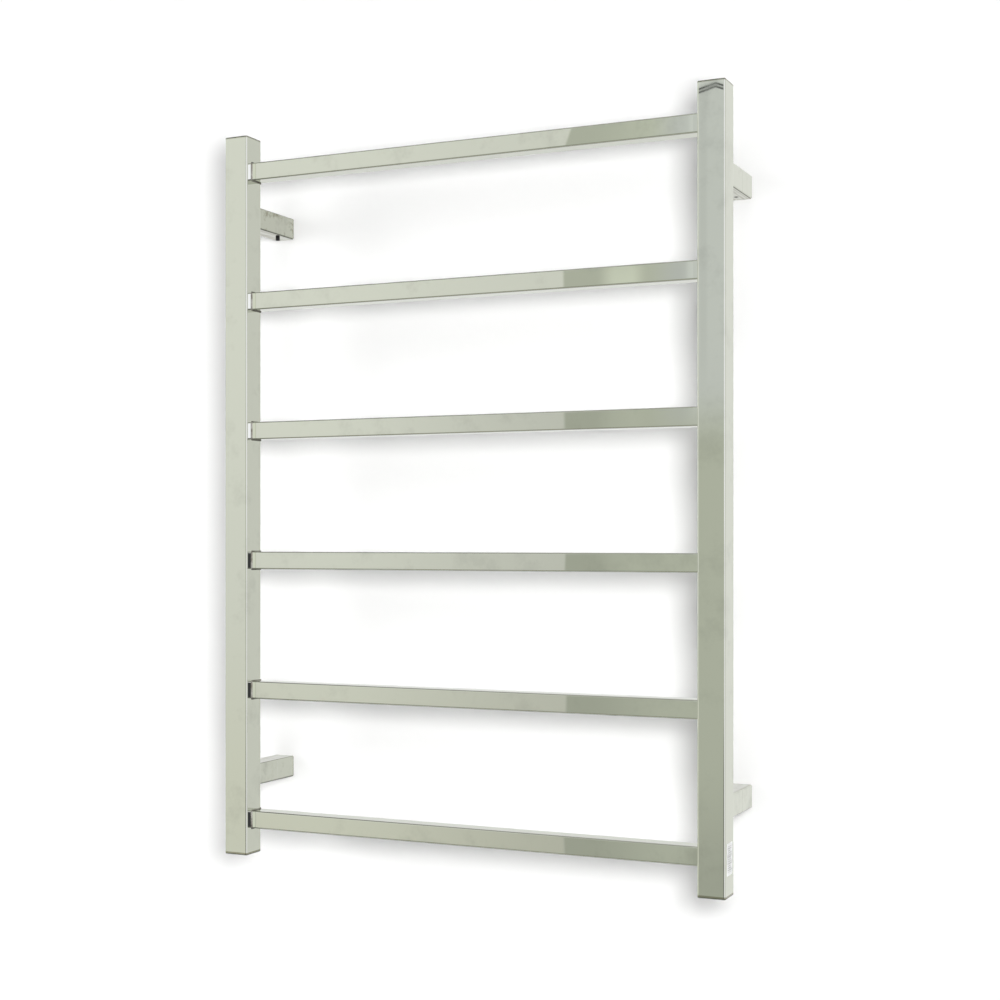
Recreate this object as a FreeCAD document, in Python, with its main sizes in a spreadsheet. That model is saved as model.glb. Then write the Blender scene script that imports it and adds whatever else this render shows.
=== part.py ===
import FreeCAD, Part
import math
import os
import re

import Sketcher
from FreeCAD import Placement, Rotation, Vector

# Wall-hung electric towel warmer: a ladder of polished square stainless tube on four short
# square brackets.  +X is to the right of someone facing the ladder, +Y points into the wall,
# +Z is up.  The origin is on the wall, midway between the four wall screws.

# ------------------------------------------------------------------ driving sizes, millimetres
SIZES = {
    "overall_width": (600, "outside of one upright to outside of the other"),
    "overall_height": (830, "underside of the bottom caps to the top of the top caps"),
    "projection": (107, "wall to the front faces of the uprights"),
    "upright_side": (30, "upright tube, square"),
    "upright_wall": (1.2, "upright tube wall"),
    "upright_corner": (2, "upright tube, outer corner radius"),
    "cap_thickness": (1.5, "end cap, welded on and polished flush"),
    "cap_edge": (1.2, "end cap, rounding of its outer rim"),
    "rung_side": (20, "crossbar tube, square"),
    "rung_wall": (1, "crossbar tube wall"),
    "rung_corner": (1.5, "crossbar tube, outer corner radius"),
    "rung_pitch": (150, "crossbar centre to crossbar centre"),
    "rung_count": (6, "crossbars"),
    "rung_setback": (10, "upright front face to crossbar front face"),
    "wire_hole": (6, "radius of the hole in an upright behind each crossbar"),
    "arm_side": (25, "bracket arm tube and wall boss, square"),
    "arm_wall": (1.2, "bracket arm tube wall"),
    "arm_corner": (2, "bracket arm and boss, outer corner radius"),
    "arm_hole": (9, "radius of the hole in the upright behind the wired arm"),
    "bracket_drop": (650, "upper wall screws to lower wall screws"),
    "boss_length": (37, "wall to the seam between boss and arm"),
    "boss_plate": (3, "solid end of the boss, against the wall"),
    "boss_rim": (0.4, "rounding of the boss's front rim"),
    "boss_foot": (1.5, "rounding of the boss's rim at the wall"),
    "seam_gap": (0.2, "open seam between arm and boss"),
    "screw_hole": (2.5, "radius of the wall screw's hole"),
    "screw_seat": (3.6, "radius of the wall screw's countersink"),
    "spigot_side": (17, "spigot tube, square"),
    "spigot_wall": (1.5, "spigot tube wall"),
    "spigot_corner": (1, "spigot tube, outer corner radius"),
    "spigot_reach": (30, "how far the spigot goes into the boss"),
    "spigot_play": (0.3, "gap between the spigot and each side of the socket"),
    "plug_length": (8, "square collar that joins the spigot to its arm"),
    "grub_radius": (2.45, "M5 grub screw"),
    "grub_hole": (2.5, "tapped hole for the grub screw, radius"),
    "grub_length": (4, "M5 grub screw length"),
    "grub_socket": (2.5, "hexagon socket across its flats"),
    "grub_socket_depth": (2, "hexagon socket depth"),
    "grub_edge": (0.3, "grub screw end chamfer"),
    "grub_from_wall": (17, "wall to the grub screw's axis"),
    "grub_tip_gap": (0.1, "tightened grub screw to the spigot"),
    "grub_backed_out": (3, "how far the upper left grub screw stands backed out"),
    "lead_offset": (5.2, "wall screw to the supply lead's hole, across and down"),
    "lead_hole": (3.1, "radius of the supply lead's hole in the wired boss"),
    "bush_bore": (2.4, "radius inside the lead's bush"),
    "bush_flange": (3.6, "radius of the bush's flange"),
    "bush_flange_thickness": (1, "bush flange thickness"),
    "cable_radius": (2, "heating cable"),
    "cable_bend": (20, "heating cable bend radius, on its centre line"),
    "cable_outset": (5, "heating cable's offset outwards from the middle of an upright"),
    "cable_tail": (75, "far end of the heating cable, below the top crossbar"),
    "seal_radius": (3, "shrunk seal on the cable's far end"),
    "seal_length": (14, "length of that seal"),
    "seal_cover": (10, "length of cable inside the seal"),
    "splice_radius": (3.2, "splice between the cold tail and the heating cable"),
    "splice_length": (28, "length of that splice"),
    "splice_inset": (30, "upright to that splice, inside the bottom crossbar"),
    "cutout_radius": (4.5, "thermal cut-out"),
    "cutout_length": (18, "thermal cut-out length"),
    "block_width": (16, "terminal block, across its poles"),
    "block_height": (12, "terminal block height"),
    "block_length": (18, "terminal block, along the wires"),
    "block_pole_pitch": (5, "pole to pole"),
    "block_wire_hole": (1.4, "radius of a pole's wire hole"),
    "block_screw_well": (1.6, "radius of a pole's screw well"),
    "block_screw_spacing": (9, "between the two screws of a pole"),
    "block_screw_length": (4, "terminal screw length"),
    "block_screw_play": (0.1, "gap between a terminal screw and its well"),
    "block_screw_slot": (0.5, "width of a terminal screw's slot"),
    "block_screw_cut": (0.8, "depth of a terminal screw's slot"),
    "block_corner": (0.8, "terminal block corner radius"),
    "block_gap": (3, "spigot collar to terminal block"),
    "earth_in_block": (6, "length of the earth lead inside the terminal block"),
    "earth_rise": (40, "arm's axis to the earth stud"),
    "earth_stud": (2, "M4 earth stud radius"),
    "earth_stud_length": (9, "earth stud length"),
    "earth_ring": (4.5, "earth lug ring radius"),
    "earth_ring_thickness": (1, "earth lug ring thickness"),
    "earth_barrel": (1.6, "earth lug barrel radius"),
    "earth_barrel_lift": (0.2, "back of the earth lug's ring to its barrel"),
    "earth_barrel_drop": (3.8, "middle of the earth lug's ring to its barrel"),
    "earth_barrel_length": (8, "earth lug barrel length"),
    "earth_nut_flats": (7, "earth nut across its flats"),
    "earth_nut_height": (3.2, "earth nut height"),
    "earth_lead": (1, "earth lead radius"),
    "earth_lead_bend": (8, "earth lead bend radius"),
    "label_width": (19, "rating label, front to back"),
    "label_height": (33, "rating label height"),
    "label_corner": (1, "rating label corner radius"),
    "label_thickness": (0.15, "rating label thickness"),
    "label_setback": (5.5, "upright front face to the label"),
    "label_rise": (23, "bottom of the ladder to the label"),
}

doc = FreeCAD.newDocument("towel_ladder")
sheet = doc.addObject("Spreadsheet::Sheet", "sizes")
for row, (alias, (number, meaning)) in enumerate(SIZES.items(), start=1):
    sheet.set(f"A{row}", meaning)
    sheet.set(f"B{row}", str(number))
    sheet.setAlias(f"B{row}", alias)
doc.recompute()


def size(alias):
    """The number in the sheet's cell of that name."""
    return float(sheet.get(alias))


def formula(text):
    """An expression in which each size's name points at its cell of the sheet."""
    return re.sub(r"[a-z_]+", lambda word: f"sizes.{word[0]}" if word[0] in SIZES else word[0], text)


def bind(thing, prop, text):
    thing.setExpression(prop, formula(text))


# Places that several pieces share, as formulas of the sizes.
UPRIGHT_ACROSS = "(overall_width - upright_side) / 2"
UPRIGHT_IN = "-projection + upright_side / 2"
RUNG_IN = "-projection + rung_setback + rung_side / 2"
BRACKET_UP = "bracket_drop / 2"
BOTTOM_RUNG = "-rung_pitch * (rung_count - 1) / 2"
COLLAR_END = "-boss_length - seam_gap - plug_length"
BLOCK_IN = "-boss_length - seam_gap - plug_length - block_gap - block_length / 2"


# ------------------------------------------------------------------ modelling helpers
def new_body(label, across="0", into="0", up="0"):
    """A PartDesign body whose own origin stands at that place in the ladder's frame."""
    body = doc.addObject("PartDesign::Body", label)
    body.Label = label
    bind(body, "Placement.Base.x", across)
    bind(body, "Placement.Base.y", into)
    bind(body, "Placement.Base.z", up)
    return body


def new_sketch(body, plane, lift="0"):
    """A sketch on one of the body's own origin planes, lifted along that plane's normal."""
    support = next(item for item in body.Origin.OriginFeatures if item.Role == plane)
    sketch = body.newObject("Sketcher::SketchObject", "profile")
    sketch.AttachmentSupport = [(support, "")]
    sketch.MapMode = "FlatFace"
    bind(sketch, "AttachmentOffset.Base.z", lift)
    return sketch


def hold(sketch, name, text, *constraint):
    """Add a dimension to the sketch, name it and bind it to a formula."""
    index = sketch.addConstraint(Sketcher.Constraint(*constraint))
    sketch.renameConstraint(index, name)
    bind(sketch, f"Constraints.{name}", text)


def place_point(sketch, name, point, across, up):
    """Hold a point of the sketch at a distance from its origin, or on an axis where that is 0."""
    for kind, text, axis in (("DistanceX", across, -2), ("DistanceY", up, -1)):
        if text == "0":
            sketch.addConstraint(Sketcher.Constraint("PointOnObject", *point, axis))
        else:
            hold(sketch, f"{name}_{kind.lower()}", text, kind, -1, 1, *point, 10)


def add_rounded_square(sketch, name, side, corner, start=10.0, height=None):
    """A square, or rectangle, with rounded corners, centred on the sketch's origin."""
    first = sketch.GeometryCount
    bend = start / 5
    flat = start - bend
    corners = [(flat, -flat), (flat, flat), (-flat, flat), (-flat, -flat)]
    ends = [((-flat, -start), (flat, -start)), ((start, -flat), (start, flat)),
            ((flat, start), (-flat, start)), ((-start, flat), (-start, -flat))]
    for (x0, y0), (x1, y1) in ends:
        sketch.addGeometry(Part.LineSegment(Vector(x0, y0, 0), Vector(x1, y1, 0)))
    for turn, (x, y) in enumerate(corners):
        circle = Part.Circle(Vector(x, y, 0), Vector(0, 0, 1), bend)
        begin = (turn - 1) * math.pi / 2
        sketch.addGeometry(Part.ArcOfCircle(circle, begin, begin + math.pi / 2))
    for turn in range(4):
        line = first + turn
        arc = first + 4 + turn
        sketch.addConstraint(Sketcher.Constraint("Tangent", line, 2, arc, 1))
        sketch.addConstraint(Sketcher.Constraint("Tangent", arc, 2, first + (turn + 1) % 4, 1))
        sketch.addConstraint(Sketcher.Constraint("Vertical" if turn % 2 else "Horizontal", line))
        if turn:
            sketch.addConstraint(Sketcher.Constraint("Equal", first + 4, arc))
    sketch.addConstraint(Sketcher.Constraint("Symmetric", first + 4, 3, first + 6, 3, -1, 1))
    hold(sketch, f"{name}_half_width", f"({side}) / 2", "DistanceX", -1, 1, first + 1, 1, start)
    hold(sketch, f"{name}_half_height", f"({height or side}) / 2",
         "DistanceY", -1, 1, first + 2, 1, start)
    hold(sketch, f"{name}_corner", corner, "Radius", first + 4, bend)


def add_circle(sketch, name, radius, across="0", up="0"):
    index = sketch.addGeometry(Part.Circle(Vector(0, 0, 0), Vector(0, 0, 1), 1))
    place_point(sketch, name, (index, 3), across, up)
    hold(sketch, f"{name}_radius", radius, "Radius", index, 1)


def add_hexagon(sketch, name, flats):
    """A regular hexagon about the sketch's origin, inside a construction circle."""
    ring = sketch.addGeometry(Part.Circle(Vector(0, 0, 0), Vector(0, 0, 1), 1), True)
    sketch.addConstraint(Sketcher.Constraint("Coincident", ring, 3, -1, 1))
    points = [Vector(math.cos(turn * math.pi / 3), math.sin(turn * math.pi / 3), 0) for turn in range(6)]
    first = ring + 1
    for start, end in zip(points, points[1:] + points[:1]):
        sketch.addGeometry(Part.LineSegment(start, end))
    for turn in range(6):
        line = first + turn
        sketch.addConstraint(Sketcher.Constraint("Coincident", line, 2, first + (turn + 1) % 6, 1))
        sketch.addConstraint(Sketcher.Constraint("PointOnObject", line, 1, ring))
        if turn:
            sketch.addConstraint(Sketcher.Constraint("Equal", first, line))
    sketch.addConstraint(Sketcher.Constraint("Horizontal", first + 1))
    hold(sketch, f"{name}_half_flats", f"({flats}) / 2", "DistanceY", -1, 1, first + 1, 1, 1)


def pad(body, sketch, length, flip=False):
    feature = body.newObject("PartDesign::Pad", "pad")
    feature.Profile = sketch
    feature.Reversed = flip
    bind(feature, "Length", length)
    doc.recompute()
    return feature


def pocket(body, sketch, length, flip=False):
    """Cut the sketch's outline out of the body, and stop if the cut takes nothing away."""
    before = body.Shape.Volume
    feature = body.newObject("PartDesign::Pocket", "pocket")
    feature.Profile = sketch
    feature.Reversed = flip
    bind(feature, "Length", length)
    doc.recompute()
    if not body.Shape.Volume < before:
        raise RuntimeError(f"{body.Label}: {feature.Name} cuts nothing")
    return feature


def face_name(feature, direction):
    """The name of the feature's flat face that lies furthest along that direction."""
    faces = feature.Shape.Faces
    far = max(range(len(faces)), key=lambda index: faces[index].CenterOfMass.dot(direction))
    return f"Face{far + 1}"


def soften(body, feature, direction, radius, kind="PartDesign::Fillet"):
    """Round, or chamfer, every edge of the face that lies furthest along that direction."""
    finish = body.newObject(kind, "rim")
    finish.Base = (feature, [face_name(feature, direction)])
    bind(finish, "Size" if kind.endswith("Chamfer") else "Radius", radius)
    doc.recompute()
    return finish


def cut_cone(body, plane, lift, near, far, length):
    """Cut a cone along the normal of one of the body's origin planes."""
    cone = body.newObject("PartDesign::SubtractiveCone", "seat")
    support = next(item for item in body.Origin.OriginFeatures if item.Role == plane)
    cone.AttachmentSupport = [(support, "")]
    cone.MapMode = "FlatFace"
    bind(cone, "AttachmentOffset.Base.z", lift)
    bind(cone, "Radius1", near)
    bind(cone, "Radius2", far)
    bind(cone, "Height", length)
    doc.recompute()


def sides():
    """Name and sign of the left and right hand side."""
    return (("left", -1), ("right", 1))


def levels():
    """Name and sign of the upper and lower level."""
    return (("upper", 1), ("lower", -1))


# ------------------------------------------------------------------ uprights and their end caps
# Drawn square tube.  A hole behind each crossbar lets the heating cable pass from the crossbar
# into the upright, and one behind the lower right arm lets it come in from the bracket.
for side, sign in sides():
    upright = new_body(f"{side}_upright", f"{sign} * {UPRIGHT_ACROSS}", UPRIGHT_IN,
                       "-overall_height / 2 + cap_thickness")
    section = new_sketch(upright, "XY_Plane")
    add_rounded_square(section, "outside", "upright_side", "upright_corner")
    add_rounded_square(section, "inside", "upright_side - 2 * upright_wall",
                       "upright_corner - upright_wall", start=8.0)
    pad(upright, section, "overall_height - 2 * cap_thickness")
    hole = new_sketch(upright, "YZ_Plane")
    add_circle(hole, "wire", "wire_hole", f"{RUNG_IN} - ({UPRIGHT_IN})",
               f"{BOTTOM_RUNG} + overall_height / 2 - cap_thickness")
    wire_pocket = pocket(upright, hole, "upright_side / 2 + 1", flip=(sign < 0))
    row = upright.newObject("PartDesign::LinearPattern", "holes")
    row.Originals = [wire_pocket]
    row.Direction = (next(item for item in upright.Origin.OriginFeatures if item.Role == "Z_Axis"), [""])
    bind(row, "Length", "rung_pitch * (rung_count - 1)")
    bind(row, "Occurrences", "rung_count")
    upright.Tip = row
    doc.recompute()
    if side == "right":
        entry = new_sketch(upright, "XZ_Plane")
        add_circle(entry, "arm", "arm_hole", "0", "(overall_height - bracket_drop) / 2 - cap_thickness")
        pocket(upright, entry, "upright_side / 2 + 1")

    for end, bottom in (("top", "overall_height / 2 - cap_thickness"), ("bottom", "-overall_height / 2")):
        cap = new_body(f"{side}_{end}_cap", f"{sign} * {UPRIGHT_ACROSS}", UPRIGHT_IN, bottom)
        plate = new_sketch(cap, "XY_Plane")
        add_rounded_square(plate, "outside", "upright_side", "upright_corner")
        blank = pad(cap, plate, "cap_thickness")
        soften(cap, blank, Vector(0, 0, 1 if end == "top" else -1), "cap_edge")

# ------------------------------------------------------------------ crossbars
# Lighter square tube, butted between the uprights and welded, its back level with theirs.
# Crossbar 1 is the top one.
for number in range(1, int(size("rung_count")) + 1):
    rung = new_body(f"crossbar_{number}", "-overall_width / 2 + upright_side", RUNG_IN,
                    f"rung_pitch * ((rung_count + 1) / 2 - {number})")
    section = new_sketch(rung, "YZ_Plane")
    add_rounded_square(section, "outside", "rung_side", "rung_corner")
    add_rounded_square(section, "inside", "rung_side - 2 * rung_wall", "rung_corner - rung_wall", start=8.0)
    pad(rung, section, "overall_width - 2 * upright_side")

# ------------------------------------------------------------------ brackets
# Each bracket is a wall boss with a square socket, an arm welded to the back of the upright, a
# spigot welded into the arm that slides into the socket, and a grub screw from below that
# clamps it.  The lower right one is the wired one: the supply lead comes through its boss.
for level, rise in levels():
    for side, sign in sides():
        place = f"{level}_{side}"
        across = f"{sign} * {UPRIGHT_ACROSS}"
        up = f"{rise} * {BRACKET_UP}"
        wired = place == "lower_right"

        boss = new_body(f"wall_boss_{place}", across, "0", up)
        block = new_sketch(boss, "XZ_Plane")
        add_rounded_square(block, "outside", "arm_side", "arm_corner")
        blank = pad(boss, block, "boss_length")
        rimmed = soften(boss, blank, Vector(0, -1, 0), "boss_rim")
        soften(boss, rimmed, Vector(0, 1, 0), "boss_foot")
        socket = new_sketch(boss, "XZ_Plane", "boss_length")
        add_rounded_square(socket, "socket", "spigot_side + 2 * spigot_play", "spigot_corner", start=8.0)
        pocket(boss, socket, "boss_length - boss_plate")
        drilled = new_sketch(boss, "XZ_Plane", "boss_length")
        add_circle(drilled, "screw", "screw_hole")
        if wired:
            add_circle(drilled, "lead", "lead_hole", "-lead_offset", "-lead_offset")
        pocket(boss, drilled, "boss_length + 1")
        cut_cone(boss, "XZ_Plane", "boss_plate - (screw_seat - screw_hole)", "screw_hole", "screw_seat",
                 "screw_seat - screw_hole")
        tapped = new_sketch(boss, "XY_Plane")
        add_circle(tapped, "grub", "grub_hole", "0", "-grub_from_wall")
        pocket(boss, tapped, "arm_side / 2 + 1")

        arm = new_body(f"bracket_arm_{place}", across, "-boss_length - seam_gap", up)
        section = new_sketch(arm, "XZ_Plane")
        add_rounded_square(section, "outside", "arm_side", "arm_corner")
        add_rounded_square(section, "inside", "arm_side - 2 * arm_wall", "arm_corner - arm_wall", start=8.0)
        pad(arm, section, "projection - upright_side - boss_length - seam_gap")

        spigot = new_body(f"spigot_{place}", across, COLLAR_END, up)
        tube = new_sketch(spigot, "XZ_Plane")
        add_rounded_square(tube, "outside", "spigot_side", "spigot_corner", start=8.0)
        pad(spigot, tube, "plug_length + spigot_reach", flip=True)
        collar = new_sketch(spigot, "XZ_Plane")
        add_rounded_square(collar, "outside", "arm_side - 2 * arm_wall", "arm_corner - arm_wall")
        pad(spigot, collar, "plug_length", flip=True)
        way = new_sketch(spigot, "XZ_Plane")
        add_rounded_square(way, "inside", "spigot_side - 2 * spigot_wall", "spigot_corner / 2", start=6.0)
        pocket(spigot, way, "plug_length + spigot_reach + 1")

        backed_out = " - grub_backed_out" if place == "upper_left" else ""
        grub = new_body(f"grub_screw_{place}", across, "-grub_from_wall",
                        f"{up} - spigot_side / 2 - grub_tip_gap - grub_length{backed_out}")
        shank = new_sketch(grub, "XY_Plane")
        add_circle(shank, "shank", "grub_radius")
        blank = pad(grub, shank, "grub_length")
        ends = soften(grub, blank, Vector(0, 0, 1), "grub_edge", "PartDesign::Chamfer")
        soften(grub, ends, Vector(0, 0, -1), "grub_edge", "PartDesign::Chamfer")
        hexagon = new_sketch(grub, "XY_Plane")
        add_hexagon(hexagon, "socket", "grub_socket")
        pocket(grub, hexagon, "grub_socket_depth", flip=True)

# Rubber bush that lines the supply lead's hole in the wired boss.
bush = new_body("cable_bush", f"{UPRIGHT_ACROSS} - lead_offset", "0", f"-{BRACKET_UP} - lead_offset")
sleeve = new_sketch(bush, "XZ_Plane")
add_circle(sleeve, "sleeve", "lead_hole")
pad(bush, sleeve, "boss_plate + bush_flange_thickness")
flange = new_sketch(bush, "XZ_Plane", "boss_plate")
add_circle(flange, "flange", "bush_flange")
pad(bush, flange, "bush_flange_thickness")
way = new_sketch(bush, "XZ_Plane", "boss_plate + bush_flange_thickness")
add_circle(way, "lead", "bush_bore")
pocket(bush, way, "boss_plate + bush_flange_thickness + 1")


# ------------------------------------------------------------------ heating circuit
SHORTEST_RUN = 1e-6  # of a cable's straight runs, millimetres
VOLUME_TOLERANCE = 0.002  # of a cable's volume, as a share


def route_wire(points, bend):
    """Straight runs through the points, joined at each inner point by a tangent arc."""
    edges = []
    start = points[0]
    for before, point, after in zip(points, points[1:], points[2:]):
        coming = (point - before).normalize()
        going = (after - point).normalize()
        turn = coming.getAngle(going)
        reach = bend * math.tan(turn / 2)
        arc_start = point - coming * reach
        arc_end = point + going * reach
        to_centre = (going - coming).normalize() * (bend / math.cos(turn / 2))
        arc_middle = point + to_centre - to_centre.normalize() * bend
        if start.distanceToPoint(arc_start) > SHORTEST_RUN:
            edges.append(Part.LineSegment(start, arc_start).toShape())
        edges.append(Part.Arc(arc_start, arc_middle, arc_end).toShape())
        start = arc_end
    edges.append(Part.LineSegment(start, points[-1]).toShape())
    return Part.Wire(edges)


def cable_feature(label, points, radius, bend):
    """A round cable along that route, with its volume compared with section times length."""
    path = route_wire(points, bend)
    ring = Part.Wire(Part.makeCircle(radius, points[0], points[1] - points[0]))
    solid = path.makePipeShell([ring], True, False)
    expected = math.pi * radius ** 2 * path.Length
    if abs(solid.Volume - expected) > expected * VOLUME_TOLERANCE:
        raise RuntimeError(f"{label}: volume {solid.Volume:.1f}, expected {expected:.1f}")
    print(f"{label}: {path.Length:.0f} mm long, bend radius {bend:g} mm")
    feature = doc.addObject("Part::Feature", label)
    feature.Label = label
    feature.Shape = solid
    return feature


# Twin-core heating cable: from the terminal block in the wired arm down to the bottom crossbar,
# then up the ladder from crossbar to crossbar, to a sealed end below the top one.
upright_across = (size("overall_width") - size("upright_side")) / 2
rung_in = -size("projection") + size("rung_setback") + size("rung_side") / 2
cable_across = upright_across + size("cable_outset")
block_front = (-size("boss_length") - size("seam_gap") - size("plug_length") - size("block_gap")
               - size("block_length"))
arm_up = -size("bracket_drop") / 2
bottom_rung = -size("rung_pitch") * (size("rung_count") - 1) / 2
cable_route = [Vector(cable_across, block_front, arm_up), Vector(cable_across, rung_in, arm_up)]
hand = 1
for step in range(int(size("rung_count"))):
    rung_up = bottom_rung + step * size("rung_pitch")
    cable_route.append(Vector(hand * cable_across, rung_in, rung_up))
    cable_route.append(Vector(-hand * cable_across, rung_in, rung_up))
    hand = -hand
cable_route.append(Vector(cable_across, rung_in, -bottom_rung - size("cable_tail")))
cable_feature("heating_cable", cable_route, size("cable_radius"), size("cable_bend"))


def sleeve_body(label, plane, radius, length, closed="0"):
    """A round sleeve on the heating cable, along the plane's normal; closed is a solid end."""
    body = new_body(label)
    outline = new_sketch(body, plane)
    add_circle(outline, "outside", radius)
    pad(body, outline, length)
    bore = new_sketch(body, plane)
    add_circle(bore, "cable", "cable_radius")
    pocket(body, bore, f"{length} - ({closed})", flip=True)
    return body


# Shrunk seal over the far end, drawn upwards over the cable, so its closed end is below.
end_seal = sleeve_body("cable_end_seal", "XY_Plane", "seal_radius", "seal_length", "seal_length - seal_cover")
end_seal.Placement.Rotation = Rotation(Vector(1, 0, 0), 180)
bind(end_seal, "Placement.Base.x", f"{UPRIGHT_ACROSS} + cable_outset")
bind(end_seal, "Placement.Base.y", RUNG_IN)
bind(end_seal, "Placement.Base.z", f"-({BOTTOM_RUNG}) - cable_tail + seal_cover")

# Splice between the unheated tail and the heating cable, just inside the bottom crossbar.
splice = sleeve_body("cold_tail_splice", "YZ_Plane", "splice_radius", "splice_length")
bind(splice, "Placement.Base.x", "overall_width / 2 - upright_side - splice_inset - splice_length")
bind(splice, "Placement.Base.y", RUNG_IN)
bind(splice, "Placement.Base.z", BOTTOM_RUNG)

# Thermal cut-out on the cable, in the right upright between the two crossbars above the bottom one.
cutout = sleeve_body("thermal_cutout", "XY_Plane", "cutout_radius", "cutout_length")
bind(cutout, "Placement.Base.x", f"{UPRIGHT_ACROSS} + cable_outset")
bind(cutout, "Placement.Base.y", RUNG_IN)
bind(cutout, "Placement.Base.z", f"{BOTTOM_RUNG} + rung_pitch * 3 / 2 - cutout_length / 2")

# ------------------------------------------------------------------ terminal block and earth
block = new_body("terminal_block", UPRIGHT_ACROSS, BLOCK_IN, f"-{BRACKET_UP}")
outline = new_sketch(block, "XZ_Plane", "-block_length / 2")
add_rounded_square(outline, "outside", "block_width", "block_corner", height="block_height", start=6.0)
pad(block, outline, "block_length")
wires = new_sketch(block, "XZ_Plane", "block_length / 2")
wells = new_sketch(block, "XY_Plane", "block_height / 2")
for pole in (-1, 0, 1):
    add_circle(wires, f"wire_{pole + 2}", "block_wire_hole", f"{pole} * block_pole_pitch" if pole else "0")
    for end in (-1, 1):
        add_circle(wells, f"well_{pole + 2}_{end + 2}", "block_screw_well",
                   f"{pole} * block_pole_pitch" if pole else "0", f"{end} * block_screw_spacing / 2")
pocket(block, wires, "block_length + 1")
pocket(block, wells, "block_height / 2 - block_wire_hole")

screws = []
screw_radius = size("block_screw_well") - size("block_screw_play")
slot_width = size("block_screw_slot")
slot_cut = size("block_screw_cut")
slot_corner = Vector(-screw_radius, -slot_width / 2, size("block_screw_length") - slot_cut)
for pole in (-1, 0, 1):
    for end in (-1, 1):
        screw = Part.makeCylinder(screw_radius, size("block_screw_length"))
        screw = screw.cut(Part.makeBox(2 * screw_radius, slot_width, slot_cut, slot_corner))
        screw.translate(Vector(pole * size("block_pole_pitch"), end * size("block_screw_spacing") / 2, 0))
        screws.append(screw)
terminal_screws = doc.addObject("Part::Feature", "terminal_screws")
terminal_screws.Label = "terminal_screws"
terminal_screws.Shape = Part.makeCompound(screws)
terminal_screws.Placement = Placement(
    Vector(upright_across, block_front + size("block_length") / 2, arm_up + size("block_wire_hole")),
    Rotation())

# Earth stud on the inside of the upright's back wall, with the earth lead's lug under its nut.
STUD_ACROSS = f"{UPRIGHT_ACROSS} - block_pole_pitch"
STUD_UP = f"-{BRACKET_UP} + earth_rise"
BACK_WALL = "-projection + upright_side - upright_wall"
stud = new_body("earth_stud", STUD_ACROSS, BACK_WALL, STUD_UP)
shank = new_sketch(stud, "XZ_Plane")
add_circle(shank, "shank", "earth_stud")
pad(stud, shank, "earth_stud_length")

lug = new_body("earth_lug", STUD_ACROSS, BACK_WALL, STUD_UP)
ring = new_sketch(lug, "XZ_Plane")
add_circle(ring, "ring", "earth_ring")
pad(lug, ring, "earth_ring_thickness")
barrel = new_sketch(lug, "XY_Plane", "-earth_barrel_drop")
add_circle(barrel, "barrel", "earth_barrel", "0", "-earth_barrel - earth_barrel_lift")
pad(lug, barrel, "earth_barrel_length", flip=True)
eye = new_sketch(lug, "XZ_Plane", "earth_ring_thickness + earth_barrel * 2")
add_circle(eye, "eye", "earth_stud")
pocket(lug, eye, "earth_ring_thickness + earth_barrel * 2 + 1")

nut = new_body("earth_nut", STUD_ACROSS, f"{BACK_WALL} - earth_ring_thickness", STUD_UP)
outline = new_sketch(nut, "XZ_Plane")
add_hexagon(outline, "nut", "earth_nut_flats")
pad(nut, outline, "earth_nut_height")
thread = new_sketch(nut, "XZ_Plane", "earth_nut_height")
add_circle(thread, "thread", "earth_stud")
pocket(nut, thread, "earth_nut_height + 1")

# The earth lead runs from its pole of the terminal block through the arm's hole and up to the lug.
lug_across = upright_across - size("block_pole_pitch")
back_wall = -size("projection") + size("upright_side") - size("upright_wall")
lug_in = back_wall - size("earth_barrel") - size("earth_barrel_lift")
lug_foot = arm_up + size("earth_rise") - size("earth_barrel_drop") - size("earth_barrel_length")
earth_route = [Vector(lug_across, block_front + size("earth_in_block"), arm_up),
               Vector(lug_across, lug_in, arm_up), Vector(lug_across, lug_in, lug_foot)]
cable_feature("earth_lead", earth_route, size("earth_lead"), size("earth_lead_bend"))

# ------------------------------------------------------------------ rating label
label = new_body("rating_label", "overall_width / 2", "-projection + label_setback + label_width / 2",
                 "-overall_height / 2 + label_rise + label_height / 2")
outline = new_sketch(label, "YZ_Plane")
add_rounded_square(outline, "outside", "label_width", "label_corner", height="label_height")
pad(label, outline, "label_thickness")

# ------------------------------------------------------------------ check and write
doc.recompute()
for item in doc.Objects:
    if {"Invalid", "Error"} & set(item.State):
        raise RuntimeError(f"{item.Label}: {item.State}")
pieces = [item for item in doc.Objects
          if item.TypeId == "PartDesign::Body" or item.TypeId == "Part::Feature"]
for piece in pieces:
    if piece.Shape.isNull() or not piece.Shape.isValid():
        raise RuntimeError(f"{piece.Label}: bad shape")

os.makedirs("parts", exist_ok=True)
for piece in pieces:
    piece.Shape.exportStep(f"parts/{piece.Label}.step")
print(f"{len(pieces)} pieces written")
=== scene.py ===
import math

import bmesh
import bpy
from mathutils import Matrix, Vector


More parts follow.
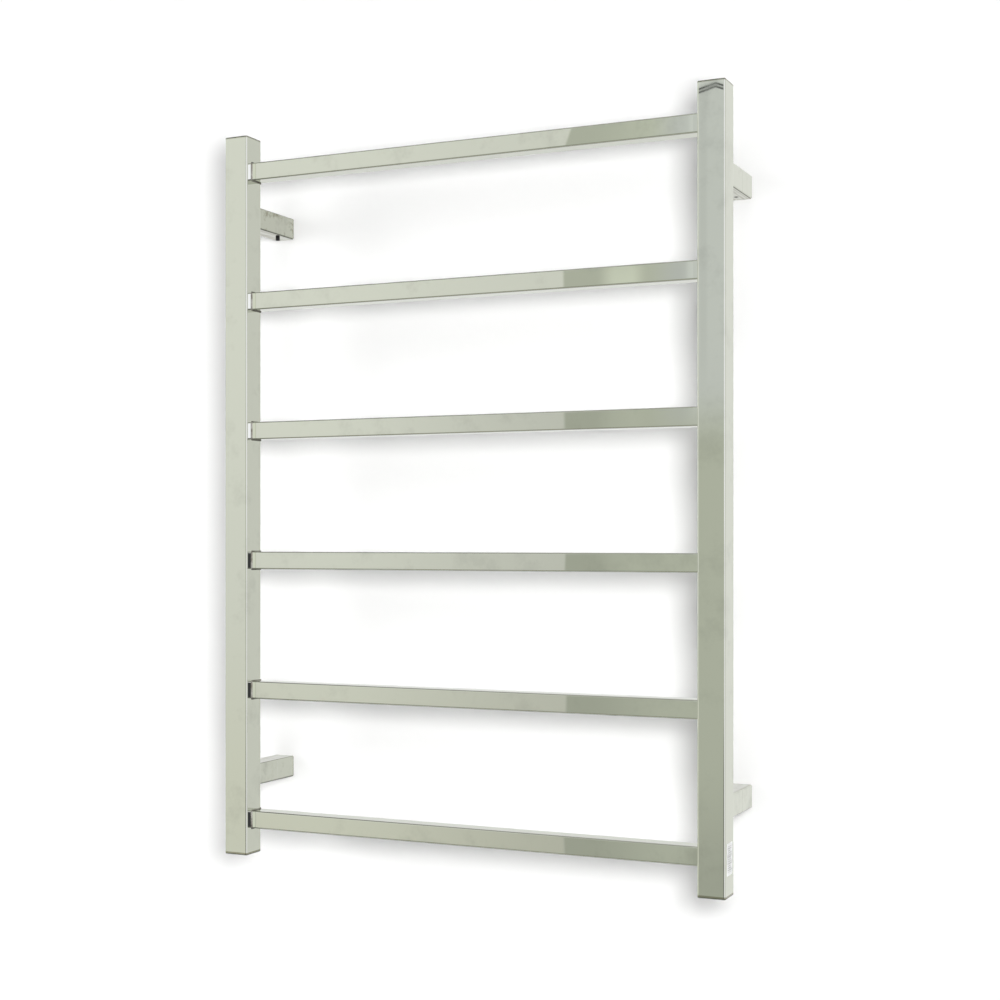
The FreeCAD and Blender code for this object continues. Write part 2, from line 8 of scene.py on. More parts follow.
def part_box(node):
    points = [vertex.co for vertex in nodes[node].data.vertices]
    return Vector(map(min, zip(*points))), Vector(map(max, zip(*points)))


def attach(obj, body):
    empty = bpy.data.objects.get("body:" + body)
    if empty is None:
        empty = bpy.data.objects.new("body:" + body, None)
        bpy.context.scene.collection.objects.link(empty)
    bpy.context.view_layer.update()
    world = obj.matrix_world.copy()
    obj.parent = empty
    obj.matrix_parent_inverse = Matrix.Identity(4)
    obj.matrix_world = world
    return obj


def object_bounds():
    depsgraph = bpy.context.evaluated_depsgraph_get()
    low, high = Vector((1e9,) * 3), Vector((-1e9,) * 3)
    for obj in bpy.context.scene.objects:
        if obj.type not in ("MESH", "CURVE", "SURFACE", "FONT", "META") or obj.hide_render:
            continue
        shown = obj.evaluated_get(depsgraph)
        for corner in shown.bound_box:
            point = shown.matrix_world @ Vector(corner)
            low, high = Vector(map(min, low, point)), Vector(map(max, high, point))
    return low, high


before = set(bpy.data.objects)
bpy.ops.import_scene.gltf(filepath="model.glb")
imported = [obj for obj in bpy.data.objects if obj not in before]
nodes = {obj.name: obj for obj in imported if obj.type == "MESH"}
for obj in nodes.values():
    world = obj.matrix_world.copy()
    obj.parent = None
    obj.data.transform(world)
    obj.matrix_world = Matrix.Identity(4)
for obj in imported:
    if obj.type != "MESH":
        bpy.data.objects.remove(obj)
cad_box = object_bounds()
MM = 0.001
MIDDLE = (cad_box[0] + cad_box[1]) / 2


# Camera. It stands to the right of the rack, a little below the middle of its height,
# and looks level at it, so that the uprights stay parallel. The shift keeps the rack
# in the frame without a tilt.
CAMERA_PLACE = Vector((0.7828, -1.7147, -0.052))
CAMERA_UP_ANGLE = math.radians(90.03)
CAMERA_TURN = math.radians(24.61)

camera_data = bpy.data.cameras.new("camera")
camera_data.sensor_width = 36
camera_data.lens = 59.385
camera_data.shift_x = 0.0034
camera_data.shift_y = 0.0396
camera_data.clip_end = 50
camera = bpy.data.objects.new("camera", camera_data)
camera.location = CAMERA_PLACE
camera.rotation_euler = (CAMERA_UP_ANGLE, 0, CAMERA_TURN)
bpy.context.scene.collection.objects.link(camera)
bpy.context.scene.camera = camera
bpy.context.scene.view_settings.view_transform = "Standard"


# Shader maths. A Signal is one value on its way through a node tree. Sums on it add
# Math nodes, and its node method adds any other node.
class Signal:
    def __init__(self, tree, socket=None):
        self.tree = tree
        self.socket = socket

    def node(self, kind, settings=None, inputs=None, output=0):
        made = self.tree.nodes.new(kind)
        for name, value in (settings or {}).items():
            setattr(made, name, value)
        for name, value in (inputs or {}).items():
            if isinstance(value, Signal):
                self.tree.links.new(value.socket, made.inputs[name])
            else:
                made.inputs[name].default_value = value
        return Signal(self.tree, made.outputs[output])

    def maths(self, operation, *values):
        return self.node("ShaderNodeMath", {"operation": operation}, dict(enumerate(values)))

    def __add__(self, other):
        return self.maths("ADD", self, other)

    def __sub__(self, other):
        return self.maths("SUBTRACT", self, other)

    def __rsub__(self, other):
        return self.maths("SUBTRACT", other, self)

    def __mul__(self, other):
        return self.maths("MULTIPLY", self, other)

    def __truediv__(self, other):
        return self.maths("DIVIDE", self, other)

    def __abs__(self):
        return self.maths("ABSOLUTE", self)

    __radd__ = __add__
    __rmul__ = __mul__

    def rise(self, start, end):
        """0 before start, 1 after end, and smooth between them."""
        return self.node("ShaderNodeMapRange", {"interpolation_type": "SMOOTHSTEP"},
                         {"Value": self, "From Min": start, "From Max": end})

    def band(self, start, end, soft):
        """1 between start and end, with soft edges."""
        return self.rise(start - soft, start + soft) * (1 - self.rise(end - soft, end + soft))

    def parts(self):
        """The three numbers of a vector."""
        split = self.node("ShaderNodeSeparateXYZ", None, {"Vector": self})
        outputs = split.socket.node.outputs
        return [Signal(self.tree, outputs[axis]) for axis in "XYZ"]

    def blend(self, colour_a, colour_b):
        """colour_a where this value is 0, colour_b where it is 1."""
        return self.node("ShaderNodeMix", {"data_type": "RGBA"},
                         {"Factor": self, 6: colour_a, 7: colour_b}, 2)


def colour(red, green, blue):
    return (red, green, blue, 1)


# Room. The rack hangs on a plain white wall over a plain pale floor. The wall shows
# only its front, so that the rack can be seen from behind, and the steel mirrors the
# studio in its place, so that the backs of the bosses aren't black.
FLOOR_LEVEL = -1.2
ROOM_REACH = 5
WALL_TOP = 2.6
WALL_GAP = 0.5 * MM


def backdrop(name, corners, finish):
    """A flat sheet of the room, which the steel doesn't mirror and which shades nothing."""
    surface = bmesh.new()
    surface.faces.new([surface.verts.new(corner) for corner in corners])
    mesh = bpy.data.meshes.new(name)
    surface.to_mesh(mesh)
    surface.free()
    made = bpy.data.objects.new(name, mesh)
    mesh.materials.append(finish)
    bpy.context.scene.collection.objects.link(made)
    made.visible_glossy = False
    made.visible_shadow = False


def matt_paint(name, tone, one_sided):
    paint = bpy.data.materials.new(name)
    paint.use_nodes = True
    start = Signal(paint.node_tree)
    shader = paint.node_tree.nodes["Principled BSDF"]
    output = paint.node_tree.nodes["Material Output"]
    shader.inputs["Roughness"].default_value = 0.9
    shader.inputs["Specular IOR Level"].default_value = 0.1
    grain = start.node("ShaderNodeTexNoise", None, {"Scale": 3.0, "Detail": 2.0})
    shade = grain.blend(colour(*tone), colour(*(part * 0.99 for part in tone)))
    paint.node_tree.links.new(shade.socket, shader.inputs["Base Color"])
    if one_sided:
        back = start.node("ShaderNodeNewGeometry", None, None, "Backfacing")
        clear = start.node("ShaderNodeBsdfTransparent")
        front = Signal(paint.node_tree, shader.outputs[0])
        seen = start.node("ShaderNodeMixShader", None, {0: back, 1: front, 2: clear})
        paint.node_tree.links.new(seen.socket, output.inputs["Surface"])
    return paint


backdrop("wall", [
    (-ROOM_REACH, WALL_GAP, FLOOR_LEVEL),
    (ROOM_REACH, WALL_GAP, FLOOR_LEVEL),
    (ROOM_REACH, WALL_GAP, WALL_TOP),
    (-ROOM_REACH, WALL_GAP, WALL_TOP),
], matt_paint("wall_paint", (0.9, 0.9, 0.9), True))
backdrop("floor", [
    (-ROOM_REACH, -ROOM_REACH, FLOOR_LEVEL),
    (ROOM_REACH, -ROOM_REACH, FLOOR_LEVEL),
    (ROOM_REACH, ROOM_REACH, FLOOR_LEVEL),
    (-ROOM_REACH, ROOM_REACH, FLOOR_LEVEL),
], matt_paint("floor_paint", (0.8, 0.8, 0.79), False))


# Studio light. A soft square light hangs just above and to the right of the camera, so
# each shadow on the wall is a soft edge below and to the left of its piece. It has no
# falloff, and a broad light in front and one on the left even out the wall.
def studio_light(name, place, aim, side, power):
    data = bpy.data.lights.new(name, "AREA")
    data.shape = "SQUARE"
    data.size = side
    data.energy = power
    made = bpy.data.objects.new(name, data)
    made.location = place
    made.rotation_euler = (Vector(place) - aim).to_track_quat("Z", "Y").to_euler()
    made.visible_camera = False
    made.visible_glossy = False
    bpy.context.scene.collection.objects.link(made)
    return data


KEY_FROM_CAMERA = Vector((0.17, 0.1, 0.14))
ABOVE_RACK = Vector((0, 0, 0.4))
LEFT_OF_RACK = Vector((-0.9, 0, 0.1))

key_light = studio_light("key_light", CAMERA_PLACE + KEY_FROM_CAMERA, MIDDLE,
                         side=0.5, power=8.0)
key_light.use_nodes = True
falloff = Signal(key_light.node_tree).node("ShaderNodeLightFalloff", None, {"Strength": 1.0},
                                            "Constant")
key_light.node_tree.links.new(falloff.socket,
                              key_light.node_tree.nodes["Emission"].inputs["Strength"])
studio_light("front_light", (0.2, -4.5, 2.2), MIDDLE + ABOVE_RACK, side=3.2, power=64)
studio_light("left_light", (-3, -1.5, 0.5), LEFT_OF_RACK, side=2, power=45)


# Studio around the rack, which only the polished steel mirrors: a pale screen on the
# left, a duller gap, a bright screen on the right, the wall, floor and ceiling. Places
# in it are in degrees: left of straight out from the wall, and above level.
DEGREE = math.pi / 180
SCREEN_EDGE = 22.25
SCREEN_END = 125
GAP_END = -18
RIGHT_END = -95
LAMP_LEFT = -30.5
LAMP_RIGHT = -33.35
EDGE = 0.06
ARCH_MIDDLE = 17.05
ARCH_TOP = 15.42
ARCH_SLOPE = 0.33
LINE_EDGE = 0.008
PLAIN_LEVEL = 0.92

world = bpy.data.worlds.new("studio")
world.use_nodes = True
bpy.context.scene.world = world
world.cycles_visibility.diffuse = False
studio = Signal(world.node_tree)
way_x, way_y, way_z = studio.node("ShaderNodeTexCoord", None, None, "Generated").parts()
left = studio.maths("ARCTAN2", way_x * -1, way_y * -1) / DEGREE
height = studio.maths("ARCSINE", way_z) / DEGREE
low_to_high = height.rise(-13, 8)
high = height.rise(4.5, 7.5)

# The pale screen is a little duller near its edge and low down.
screen_edge = height.rise(13, 15) * -0.5 + SCREEN_EDGE
left_screen = left.band(screen_edge, SCREEN_END, EDGE)
far_left = left.rise(21.5, 31.5)
far_level = 0.965 + 0.155 * low_to_high
near_level = 0.745 + 0.12 * height.rise(-13, 2) + 0.16 * high
left_level = (1 - far_left) * near_level + far_left * far_level

# The gap is brightest high up beside the screen, and the camera's dark stand is low in it.
gap = left.band(GAP_END, screen_edge, EDGE)
gap_side = 1 - left.rise(18.5, 21.5)
gap_end = 1 - left.rise(17.7, 18.3)
gap_level = 0.58 + 0.05 * low_to_high + 0.09 * high
gap_level = gap_level + gap_side * (0.12 - 0.06 * high + 0.09 * height.rise(10, 12))
gap_level = gap_level + gap_end * (0.13 * height.rise(3, 5.5) - 0.09 * height.rise(10, 12)
                                   - 0.11 * (1 - height.rise(-12, -7.5)))
patch = 0.05 * height.band(-4, 10, 1) + 0.2 * height.band(6.5, 9.8, 1)
gap_level = gap_level + left.band(19.6, 20.9, 0.35) * patch
streaks = 0.08 * left.band(17.72, 18, 0.08) - 0.06 * left.band(17.35, 17.6, 0.08)
gap_level = gap_level + streaks * high

stand = left.band(GAP_END, 16, 1) * (1 - height.rise(-9, -5))
gap_level = gap_level * (1 - stand * 0.75)

# A dark double rail is bent to a low arch over the gap, with paler wall above it.
arch_top = ARCH_TOP - abs(left - ARCH_MIDDLE) * ARCH_SLOPE
arch = height.band(arch_top - 0.17, arch_top, LINE_EDGE) * left.band(16.6, 17.9, 0.02)
arch_gap = height.band(arch_top - 0.115, arch_top - 0.055, LINE_EDGE)
above_arch = height.rise(arch_top, arch_top + 0.2) * left.band(15, 18.4, 0.4)
gap_level = gap_level + above_arch * 0.2
gap_level = gap_level * (1 - arch * (1 - arch_gap * 0.7) * 0.85)

# The lamp is bright above the level of the rack's middle and dark below it.
right_screen = left.band(RIGHT_END, GAP_END, 1)
lamp = left.band(LAMP_RIGHT, LAMP_LEFT, 0.15)
beside_lamp = left.band(-38, LAMP_RIGHT, 0.15) * (0.8 + 0.2 * low_to_high)
lamp_level = height.rise(-0.5, 1) * 2.6 + 0.12
right_level = (1 - lamp) * (1.25 + beside_lamp * 0.65) + lamp * lamp_level

wall_side = (1 - left.rise(RIGHT_END, RIGHT_END + 0.1)) + left.rise(SCREEN_END,
                                                                    SCREEN_END + 0.1)
wall_level = 0.93 + 0.12 * (1 - left.rise(-160, -150)) * (1 - left.rise(0, 1))
wall_level = wall_level + 0.12 * left.rise(166, 178)
level = (left_screen * left_level + gap * gap_level + right_screen * right_level
         + wall_side * wall_level)

floor_seen = 1 - height.rise(-20, -14)
floor_level = 0.34 + 0.36 * (1 - height.rise(-60, -40))
level = level * (1 - floor_seen) + floor_level * floor_seen
ceiling_seen = height.rise(26, 36)
ceiling_level = 1.0 - 0.7 * left.rise(21, 23) - 0.7 * (1 - left.rise(-110, -90))
overhead = height.rise(50, 65)
ceiling_level = ceiling_level * (1 - overhead) + 0.85 * overhead
level = level * (1 - ceiling_seen) + ceiling_level * ceiling_seen

warm = gap.blend(colour(1, 1, 1), colour(0.97, 1, 0.92))
cool = gap * (1 - left.rise(18.2, 19.4)) * height.rise(3, 5.5)
tinted = cool.blend(warm, colour(0.98, 1, 1.05))
low_left = left_screen * (1 - height.rise(-10, -1))
tinted = low_left.blend(tinted, colour(1, 0.995, 0.94))
tinted = right_screen.blend(tinted, colour(1, 0.98, 1.08))
tinted = lamp.blend(tinted, colour(1, 0.95, 1.28))

# Seen straight on, past the wall and the floor, the studio is plain.
plain = studio.node("ShaderNodeLightPath", None, None, "Is Camera Ray")
tinted = plain.blend(tinted, colour(1, 1, 1))
strength = level * (1 - plain) + PLAIN_LEVEL * plain
background = world.node_tree.nodes["Background"]
world.node_tree.links.new(tinted.socket, background.inputs["Color"])
world.node_tree.links.new(strength.socket, background.inputs["Strength"])


# Uprights. Each is a 30 mm square stainless tube with a thin cap welded into each end,
# ground flush and buffed to a mirror. The tube's walls are never quite flat, buffing
# leaves faint lines along the tube, and hands leave slightly duller patches.
STEEL = (0.56, 0.58, 0.495)
# Dark tone for the ground ends and grime, and on the brackets for painted shade.
GRIME_AND_SHADE_TONE = (0.3, 0.3, 0.22)
SIDES = ("left", "right")
ENDS = ("top", "bottom")


def new_finish(name, metallic):
    """A finish, its shader, and the place on the piece that its patterns follow."""
    finish = bpy.data.materials.new(name)
    finish.use_nodes = True
    shader = finish.node_tree.nodes["Principled BSDF"]
    shader.inputs["Metallic"].default_value = metallic
    place = Signal(finish.node_tree).node("ShaderNodeTexCoord", None, None, "Object")
    return finish, shader, place


def stretched(place, stretch):
    """A place whose patterns are drawn out along each axis where stretch is small."""
    return place.node("ShaderNodeMapping", {"vector_type": "POINT"},
                      {"Vector": place, "Scale": stretch})


def noise(place, size, **more):
    """Soft patches from 0 to 1, finer as size grows."""
    return place.node("ShaderNodeTexNoise", None, {"Vector": place, "Scale": size, **more})


def relief(height, depth):
    """Bumps that stand depth higher where height is 1 than where it is 0."""
    return height.node("ShaderNodeBump", None,
                       {"Height": height, "Distance": depth, "Strength": 1.0})


def joined(shader, **values):
    """Joins each value to the shader's socket of that name, as in Base_Color."""
    for name, value in values.items():
        value.tree.links.new(value.socket, shader.inputs[name.replace("_", " ")])


def polished_steel(name, stretch, smudge_depth, wave_depth, dent=None, grime_and_shade=None):
    """Mirror steel. wave_depth and dent are in millimetres, and the darkening function is 1 where
    dark, from grime or grinding, or from painted shade on the brackets.
    """
    finish, shader, place = new_finish(name, 1)
    lines = noise(stretched(place, stretch), 900.0, Detail=3.0)
    smudge = noise(place, 22.0, Detail=4.0, Roughness=0.6)
    waves = noise(place, 9.0, Detail=1.0)
    dull = smudge.rise(0.5, 0.75)
    tone = dull.blend(colour(*STEEL), colour(*(part * (1 - smudge_depth) for part in STEEL)))
    if grime_and_shade:
        tone = grime_and_shade(place).blend(tone, colour(*GRIME_AND_SHADE_TONE))
    gloss = 0.007 + 0.014 * dull + 0.005 * lines
    shape = waves * wave_depth
    if dent:
        shape = shape + dent(place)
    joined(shader, Base_Color=tone, Roughness=gloss, Normal=relief(shape, MM))
    return finish


def finish_nodes(finish, slot, *names):
    for name in names:
        for place in nodes[name].material_slots:
            place.material = finish


GROUND_DEPTH = 2.8
GROUND_END = cad_box[1].z / MM - GROUND_DEPTH


def ground_ends(place):
    """The last of the tube, ground duller with its cap, most of all at the foot."""
    z = place.parts()[2] / MM
    top = z.rise(GROUND_END, GROUND_END + 0.6)
    foot = (z * -1).rise(GROUND_END - 0.4, GROUND_END)
    return top * 0.3 + foot * 0.85


upright_steel = polished_steel("upright_steel", (1, 1, 0.02), smudge_depth=0.1,
                               wave_depth=0.02, grime_and_shade=ground_ends)
finish_nodes(upright_steel, "polished_steel", *[f"{side}_upright" for side in SIDES])


# Caps. A thin plate closes each end of each upright. Its rim is ground back flush after
# welding, and the grinding leaves it darker and duller than the tube.
cap_steel, shader, place = new_finish("cap_steel", 1)
grinding = noise(place, 500.0, Detail=3.0)
tint = grinding.rise(0.35, 0.7).blend(colour(0.26, 0.27, 0.2), colour(0.14, 0.14, 0.1))
joined(shader, Base_Color=tint, Roughness=0.1 + 0.12 * grinding,
       Normal=relief(grinding, 0.02 * MM))
finish_nodes(cap_steel, "polished_steel",
             *[f"{side}_{end}_cap" for side in SIDES for end in ENDS])


# Crossbars. Six 20 mm square tubes of the same steel run between the uprights, set back
# from their fronts. The welds shrink as they cool, which leaves the last few
# millimetres of each front a little out of square.
CROSSBARS = [f"crossbar_{number}" for number in range(1, 7)]
PULL_REACH = 7
PULL_DEPTH = 0.06


def weld_pull(place):
    """How far the front is pulled in, from nothing at PULL_REACH from the weld."""
    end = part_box("crossbar_1")[1].x / MM
    past = abs(place.parts()[0]) / MM - (end - PULL_REACH)
    return past.maths("MAXIMUM", past, 0.0) * (-PULL_DEPTH / PULL_REACH)


crossbar_steel = polished_steel("crossbar_steel", (0.02, 1, 1), smudge_depth=0.09,
                                wave_depth=0.1, dent=weld_pull)
finish_nodes(crossbar_steel, "polished_steel", *CROSSBARS)


# Bracket arms and wall bosses. The four arms are 25 mm square tubes welded to the backs
# of the uprights, and each meets its own boss on the wall at a hairline seam. They are
# out of reach of the big buffing wheel, so the polish is blotchy. Their colour also holds
# painted shade: a contact shadow at the wall, shade and reflected bands on the faces
# towards the rack's middle, and a mottled reflection on the upper left bracket.
RUNGS = ("upper", "lower")
WALL_LINE = -1.8
# Height of the upper bosses' undersides, which are darkened by painted shade and painted reflected
# bands.
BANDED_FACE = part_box("wall_boss_upper_left")[0].z / MM


def bracket_marks_and_shade(place):
    """How dark the bracket steel is. A painted contact shadow runs along the wall, painted
    shade and painted reflected bands lie in drawn lines on the upper brackets' undersides
    and the lower brackets' tops, and grime lies in blotches. The blotches gather on the
    upper left bracket, which is also darkened evenly, and there they are partly a painted
    mottled reflection."""
    x, y, z = place.parts()
    # Painted contact shadow: the steel within about 2 mm of the wall is darkened fully.
    wall_contact_shadow = (y / MM).rise(WALL_LINE - 0.5, WALL_LINE)
    # Grime blotches all over. The upper left bracket gets more of them and an even darkening, and
    # there they are a painted mottled reflection.
    upper_left = (1 - x.rise(-0.2, 0.2)) * z.rise(-0.2, 0.2)
    blotches = noise(place, 70.0, Detail=5.0, Roughness=0.65)
    blotches_and_shade = blotches.rise(0.5, 0.72) * (0.12 + 0.75 * upper_left) + 0.22 * upper_left
    blotches_and_shade = blotches_and_shade.maths("MAXIMUM", blotches_and_shade, wall_contact_shadow)
    # Painted shade and painted reflected bands: the faces at that height, the upper undersides and
    # the lower tops, are darkened in drawn lines.
    drawn = noise(stretched(place, (1, 0.04, 1)), 260.0, Detail=2.0)
    off_face = abs(abs(z) / MM - BANDED_FACE)
    painted_face_bands = off_face.maths("LESS_THAN", off_face, 0.4)
    return blotches_and_shade.maths("MAXIMUM", blotches_and_shade, painted_face_bands * (0.3 + 0.6 * drawn.rise(0.45, 0.6)))


bracket_steel = polished_steel("bracket_steel", (1, 0.02, 1), smudge_depth=0.2,
                               wave_depth=0.15, grime_and_shade=bracket_marks_and_shade)
finish_nodes(bracket_steel, "polished_steel",
             *[f"{part}_{rung}_{side}" for part in ("bracket_arm", "wall_boss")
               for rung in RUNGS for side in SIDES])


# Welds. A small fillet of filler runs round each end of each crossbar and round the root
# of each bracket arm. It is brushed rather than buffed, so it is duller than the tubes.
BAR_WELD = 1.3 * MM
ARM_WELD = 0.5 * MM
FILLET = [(1, 0), (0.55, 0.1), (0.25, 0.3), (0.08, 0.6), (0, 1)]
SUNK = 0.1 * MM
UNDER_TUBE = 0.3 * MM
BAR_CORNER = 1.5 * MM
ARM_CORNER = 2 * MM

weld_steel, shader, place = new_finish("weld_steel", 1)
ripples = noise(place, 900.0, Detail=2.0)
heat = noise(place, 160.0)
tint = heat.rise(0.35, 0.7).blend(colour(0.36, 0.36, 0.3), colour(0.2, 0.19, 0.15))
joined(shader, Base_Color=tint, Roughness=0.1 + 0.1 * ripples, Normal=relief(ripples, 0.05 * MM))


def weld(name, centre, towards, width, corner, size):
    """A fillet round a square tube that stands on a face at centre and runs towards a
    direction. Its rings are grown round the tube, and the first outline is then dropped."""
    bead = bmesh.new()
    bmesh.ops.create_grid(bead, x_segments=1, y_segments=1, size=width / 2)
    bmesh.ops.bevel(bead, geom=bead.verts[:], offset=corner, segments=4, profile=0.5,
                    affect="VERTICES", material=-1)
    bmesh.ops.delete(bead, geom=bead.faces[:], context="FACES_ONLY")
    loops = [bead.edges[:]]
    rings = [(grow * size, rise * size) for grow, rise in FILLET]
    rings += [(-UNDER_TUBE, size), (-UNDER_TUBE, -SUNK), (size, -SUNK)]
    half = width / 2
    reach = 1
    level = 0
    for grow, rise in rings:
        made = bmesh.ops.extrude_edge_only(bead, edges=loops[-1])["geom"]
        points = [part for part in made if isinstance(part, bmesh.types.BMVert)]
        loops.append([part for part in made if isinstance(part, bmesh.types.BMEdge)])
        wanted = (half + grow) / half
        bmesh.ops.scale(bead, vec=(wanted / reach, wanted / reach, 1), verts=points)
        bmesh.ops.translate(bead, vec=(0, 0, rise - level), verts=points)
        reach = wanted
        level = rise
    outline = {corner_point for edge in loops[0] for corner_point in edge.verts}
    bmesh.ops.delete(bead, geom=list(outline), context="VERTS")
    bmesh.ops.bridge_loops(bead, edges=[edge for edge in bead.edges if edge.is_boundary])
    turn = Vector(towards).to_track_quat("Z", "Y").to_matrix().to_4x4()
    bmesh.ops.transform(bead, matrix=Matrix.Translation(centre) @ turn, verts=bead.verts[:])
    across_rack = abs(towards[0]) > 0
    if across_rack:
        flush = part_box("left_upright")[1].y - 0.02 * MM
        cut = bmesh.ops.bisect_plane(bead, geom=bead.verts[:] + bead.edges[:] + bead.faces[:],
                                     plane_co=(0, flush, 0), plane_no=(0, 1, 0),
                                     clear_outer=True)["geom_cut"]
        rim = [part for part in cut if isinstance(part, bmesh.types.BMEdge)]
        bmesh.ops.holes_fill(bead, edges=rim, sides=0)
    bmesh.ops.remove_doubles(bead, verts=bead.verts[:], dist=0.001 * MM)
    bmesh.ops.recalc_face_normals(bead, faces=bead.faces[:])
    for face in bead.faces:
        face.smooth = True
    mesh = bpy.data.meshes.new(name)
    bead.to_mesh(mesh)
    bead.free()
    mesh.materials.append(weld_steel)
    made = bpy.data.objects.new(name, mesh)
    bpy.context.scene.collection.objects.link(made)
    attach(made, "rack")


for bar in CROSSBARS:
    low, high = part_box(bar)
    heart = (low + high) / 2
    for side, edge, away in (("left", low.x, 1), ("right", high.x, -1)):
        weld(f"weld_{bar}_{side}", (edge, heart.y, heart.z), (away, 0, 0),
             high.z - low.z, BAR_CORNER, BAR_WELD)
for rung in RUNGS:
    for side in SIDES:
        low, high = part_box(f"bracket_arm_{rung}_{side}")
        heart = (low + high) / 2
        weld(f"weld_arm_{rung}_{side}", (heart.x, low.y, heart.z), (0, 1, 0),
             high.x - low.x, ARM_CORNER, ARM_WELD)


# Spigots. Each is a length of tube with a collar that is welded into its arm, and slides
# into the boss. It is left as it was drawn, so it is duller than the polished tubes and
# lined lengthways. The earth stud and its nut have the same plain finish.
mill_steel, shader, place = new_finish("mill_steel", 1)
drawn = noise(stretched(place, (1, 0.03, 1)), 1400.0, Detail=3.0)
haze = noise(place, 110.0)
tint = haze.rise(0.35, 0.75).blend(colour(0.55, 0.55, 0.54), colour(0.45, 0.45, 0.45))
joined(shader, Base_Color=tint, Roughness=0.26 + 0.16 * drawn, Normal=relief(drawn, 0.02 * MM))
finish_nodes(mill_steel, "mill_steel", "earth_stud", "earth_nut",
             *[f"spigot_{rung}_{side}" for rung in RUNGS for side in SIDES])


# Grub screws. One short hexagon socket screw of hardened steel, oiled black, comes up
# through the underside of each boss and locks the spigot. The black is thin on the
# thread, where the brown of the steel comes through.
black_oxide, shader, place = new_finish("black_oxide", 0.4)
wear = noise(place, 700.0, Detail=3.0)
grit = noise(place, 3000.0)
tint = wear.rise(0.58, 0.75).blend(colour(0.018, 0.018, 0.02), colour(0.075, 0.062, 0.05))
joined(shader, Base_Color=tint, Roughness=0.35 + 0.25 * grit, Normal=relief(grit, 0.02 * MM))
finish_nodes(black_oxide, "black_steel",
             *[f"grub_screw_{rung}_{side}" for rung in RUNGS for side in SIDES])


# Heating cable. A resistance wire in a matt red silicone sheath runs up and down the
# uprights and through the crossbars. The sheath has talc on it and small flow lumps.
red_silicone, shader, place = new_finish("red_silicone", 0)
shader.inputs["Specular IOR Level"].default_value = 0.35
talc = noise(place, 260.0, Detail=4.0)
lumps = noise(place, 600.0)
tint = talc.rise(0.5, 0.8).blend(colour(0.34, 0.045, 0.035), colour(0.48, 0.2, 0.17))
joined(shader, Base_Color=tint, Roughness=0.5 + 0.25 * talc, Normal=relief(lumps, 0.08 * MM))
finish_nodes(red_silicone, "red_silicone", "heating_cable")


# Sleeves. Black sleeve is shrunk over the dead end of the cable and over the splice to
# its cold tail, and takes up the shape beneath as shallow wrinkles.
shrunk_sleeve, shader, place = new_finish("shrunk_sleeve", 0)
wrinkles = noise(place, 420.0, Detail=2.0)
tint = wrinkles.rise(0.3, 0.8).blend(colour(0.02, 0.02, 0.02), colour(0.045, 0.045, 0.047))
joined(shader, Base_Color=tint, Roughness=0.4 + 0.2 * wrinkles, Normal=relief(wrinkles, 0.15 * MM))
finish_nodes(shrunk_sleeve, "black_sleeve", "cable_end_seal", "cold_tail_splice")


# Thermal cut-out and terminal block. Both are pressed and fired ceramic. The cut-out is
# bare and grainy, and the block has a thin glaze with fine specks in it.
def ceramic(name, pale, dark, roughness, grain_size, depth):
    finish, shader, place = new_finish(name, 0)
    grain = noise(place, grain_size, Detail=4.0)
    specks = place.node("ShaderNodeTexVoronoi", None,
                        {"Vector": place, "Scale": grain_size * 1.5}, "Distance")
    tint = (1 - specks.rise(0.05, 0.2)).blend(colour(*pale), colour(*dark))
    joined(shader, Base_Color=tint, Roughness=grain * 0.2 + (roughness - 0.1),
           Normal=relief(grain, depth))
    return finish


bare_ceramic = ceramic("bare_ceramic", (0.78, 0.75, 0.68), (0.6, 0.55, 0.47), 0.75, 900.0,
                       0.06 * MM)
glazed_ceramic = ceramic("glazed_ceramic", (0.86, 0.85, 0.81), (0.66, 0.63, 0.57), 0.22,
                         500.0, 0.02 * MM)
finish_nodes(bare_ceramic, "cutout_ceramic", "thermal_cutout")
finish_nodes(glazed_ceramic, "block_ceramic", "terminal_block")


# Terminal screws and earth lug. The screws are turned brass, with fine rings and a thin
# brown tarnish. The lug is pressed from sheet copper and dipped in tin.
def plain_metal(name, bright, tarnished, roughness, mark_size):
    finish, shader, place = new_finish(name, 1)
    tarnish = noise(place, 380.0, Detail=3.0)
    marks = noise(place, mark_size)
    tint = tarnish.rise(0.45, 0.75).blend(colour(*bright), colour(*tarnished))
    joined(shader, Base_Color=tint, Roughness=(roughness - 0.08) + 0.16 * marks,
           Normal=relief(marks, 0.02 * MM))
    return finish


brass = plain_metal("turned_brass", (0.7, 0.52, 0.24), (0.46, 0.31, 0.14), 0.3, 2400.0)
tin_dip = plain_metal("tin_dip", (0.68, 0.67, 0.64), (0.5, 0.5, 0.49), 0.4, 900.0)
finish_nodes(brass, "terminal_brass", "terminal_screws")
finish_nodes(tin_dip, "tinned_copper", "earth_lug")


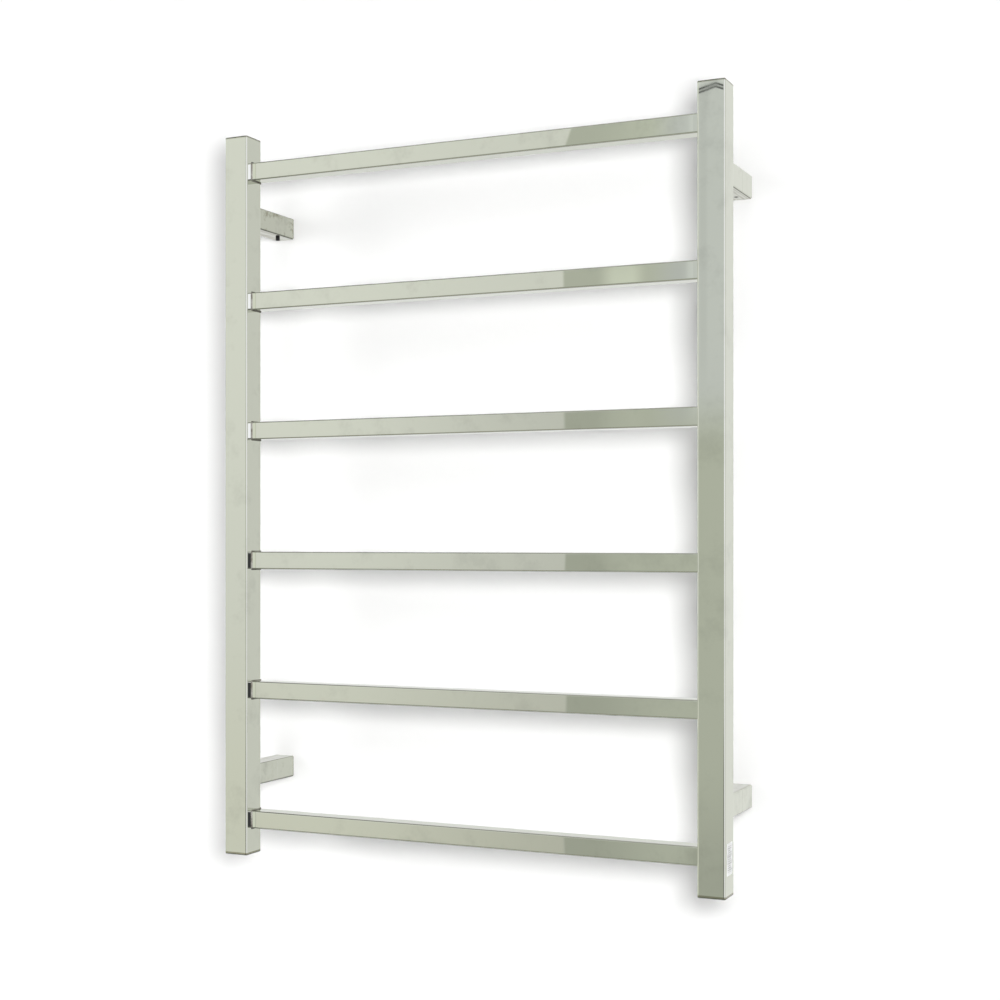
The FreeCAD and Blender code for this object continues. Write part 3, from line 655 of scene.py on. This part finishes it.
# Earth lead. A short stranded lead in a soft silicone sheath joins the lug to the
# terminal block. The sheath is green with a yellow stripe down each side.
earth_sheath, shader, place = new_finish("earth_sheath", 0)
lead_low, lead_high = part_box("earth_lead")
across = abs(place.parts()[0] - (lead_low.x + lead_high.x) / 2)
dust = noise(place, 800.0)
stripe = (across / MM).rise(0.42, 0.5)
tint = stripe.blend(colour(0.06, 0.28, 0.05), colour(0.75, 0.6, 0.04))
joined(shader, Base_Color=tint, Roughness=0.42 + 0.2 * dust, Normal=relief(dust, 0.03 * MM))
finish_nodes(earth_sheath, "earth_sheath", "earth_lead")


# Cable bush. A soft black rubber ring lines the hole in the wired boss, so its edge
# can't cut the supply lead. The rubber is matt, with a grey bloom.
bush_rubber, shader, place = new_finish("bush_rubber", 0)
bloom = noise(place, 500.0, Detail=3.0)
tint = bloom.rise(0.45, 0.8).blend(colour(0.03, 0.03, 0.03), colour(0.09, 0.09, 0.088))
joined(shader, Base_Color=tint, Roughness=0.65 + 0.2 * bloom, Normal=relief(bloom, 0.04 * MM))
finish_nodes(bush_rubber, "bush_rubber", "cable_bush")


# Rating label. A satin silver film is stuck low on the outside of the right upright. Its
# print is only plain bars and a ruled box.
ROWS = 15
INK = 0.8

label_low, label_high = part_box("rating_label")
label_film, shader, place = new_finish("label_film", 0)
x, y, z = place.parts()
across = (y - label_low.y) / (label_high.y - label_low.y)
up = (z - label_low.z) / (label_high.z - label_low.z)
row = up * ROWS
row_height = row.maths("FRACT", row)
row_number = row.maths("FLOOR", row)
row_end = 0.55 + 0.35 * abs(row.maths("SINE", row_number * 2.3))
dashes = row.maths("SINE", across * 34 + row_number * 1.7).rise(-0.8, -0.5)
bars = row_height.band(0.24, 0.74, 0.06) * across.band(0.12, row_end, 0.012) * dashes
bars = bars * up.band(0.1, 0.9, 0.004)
ruled = (up.band(0.36, 0.6, 0.005) * across.band(0.07, 0.93, 0.008)
         - up.band(0.372, 0.588, 0.005) * across.band(0.09, 0.91, 0.008))
print_ink = bars.maths("MAXIMUM", bars * INK, ruled * INK)
film = noise(place, 1500.0)
tint = print_ink.blend(colour(0.95, 0.96, 0.95), colour(0.1, 0.1, 0.1))
joined(shader, Base_Color=tint, Roughness=0.32 + 0.14 * film, Normal=relief(film, 0.01 * MM))
finish_nodes(label_film, "label_film", "rating_label")
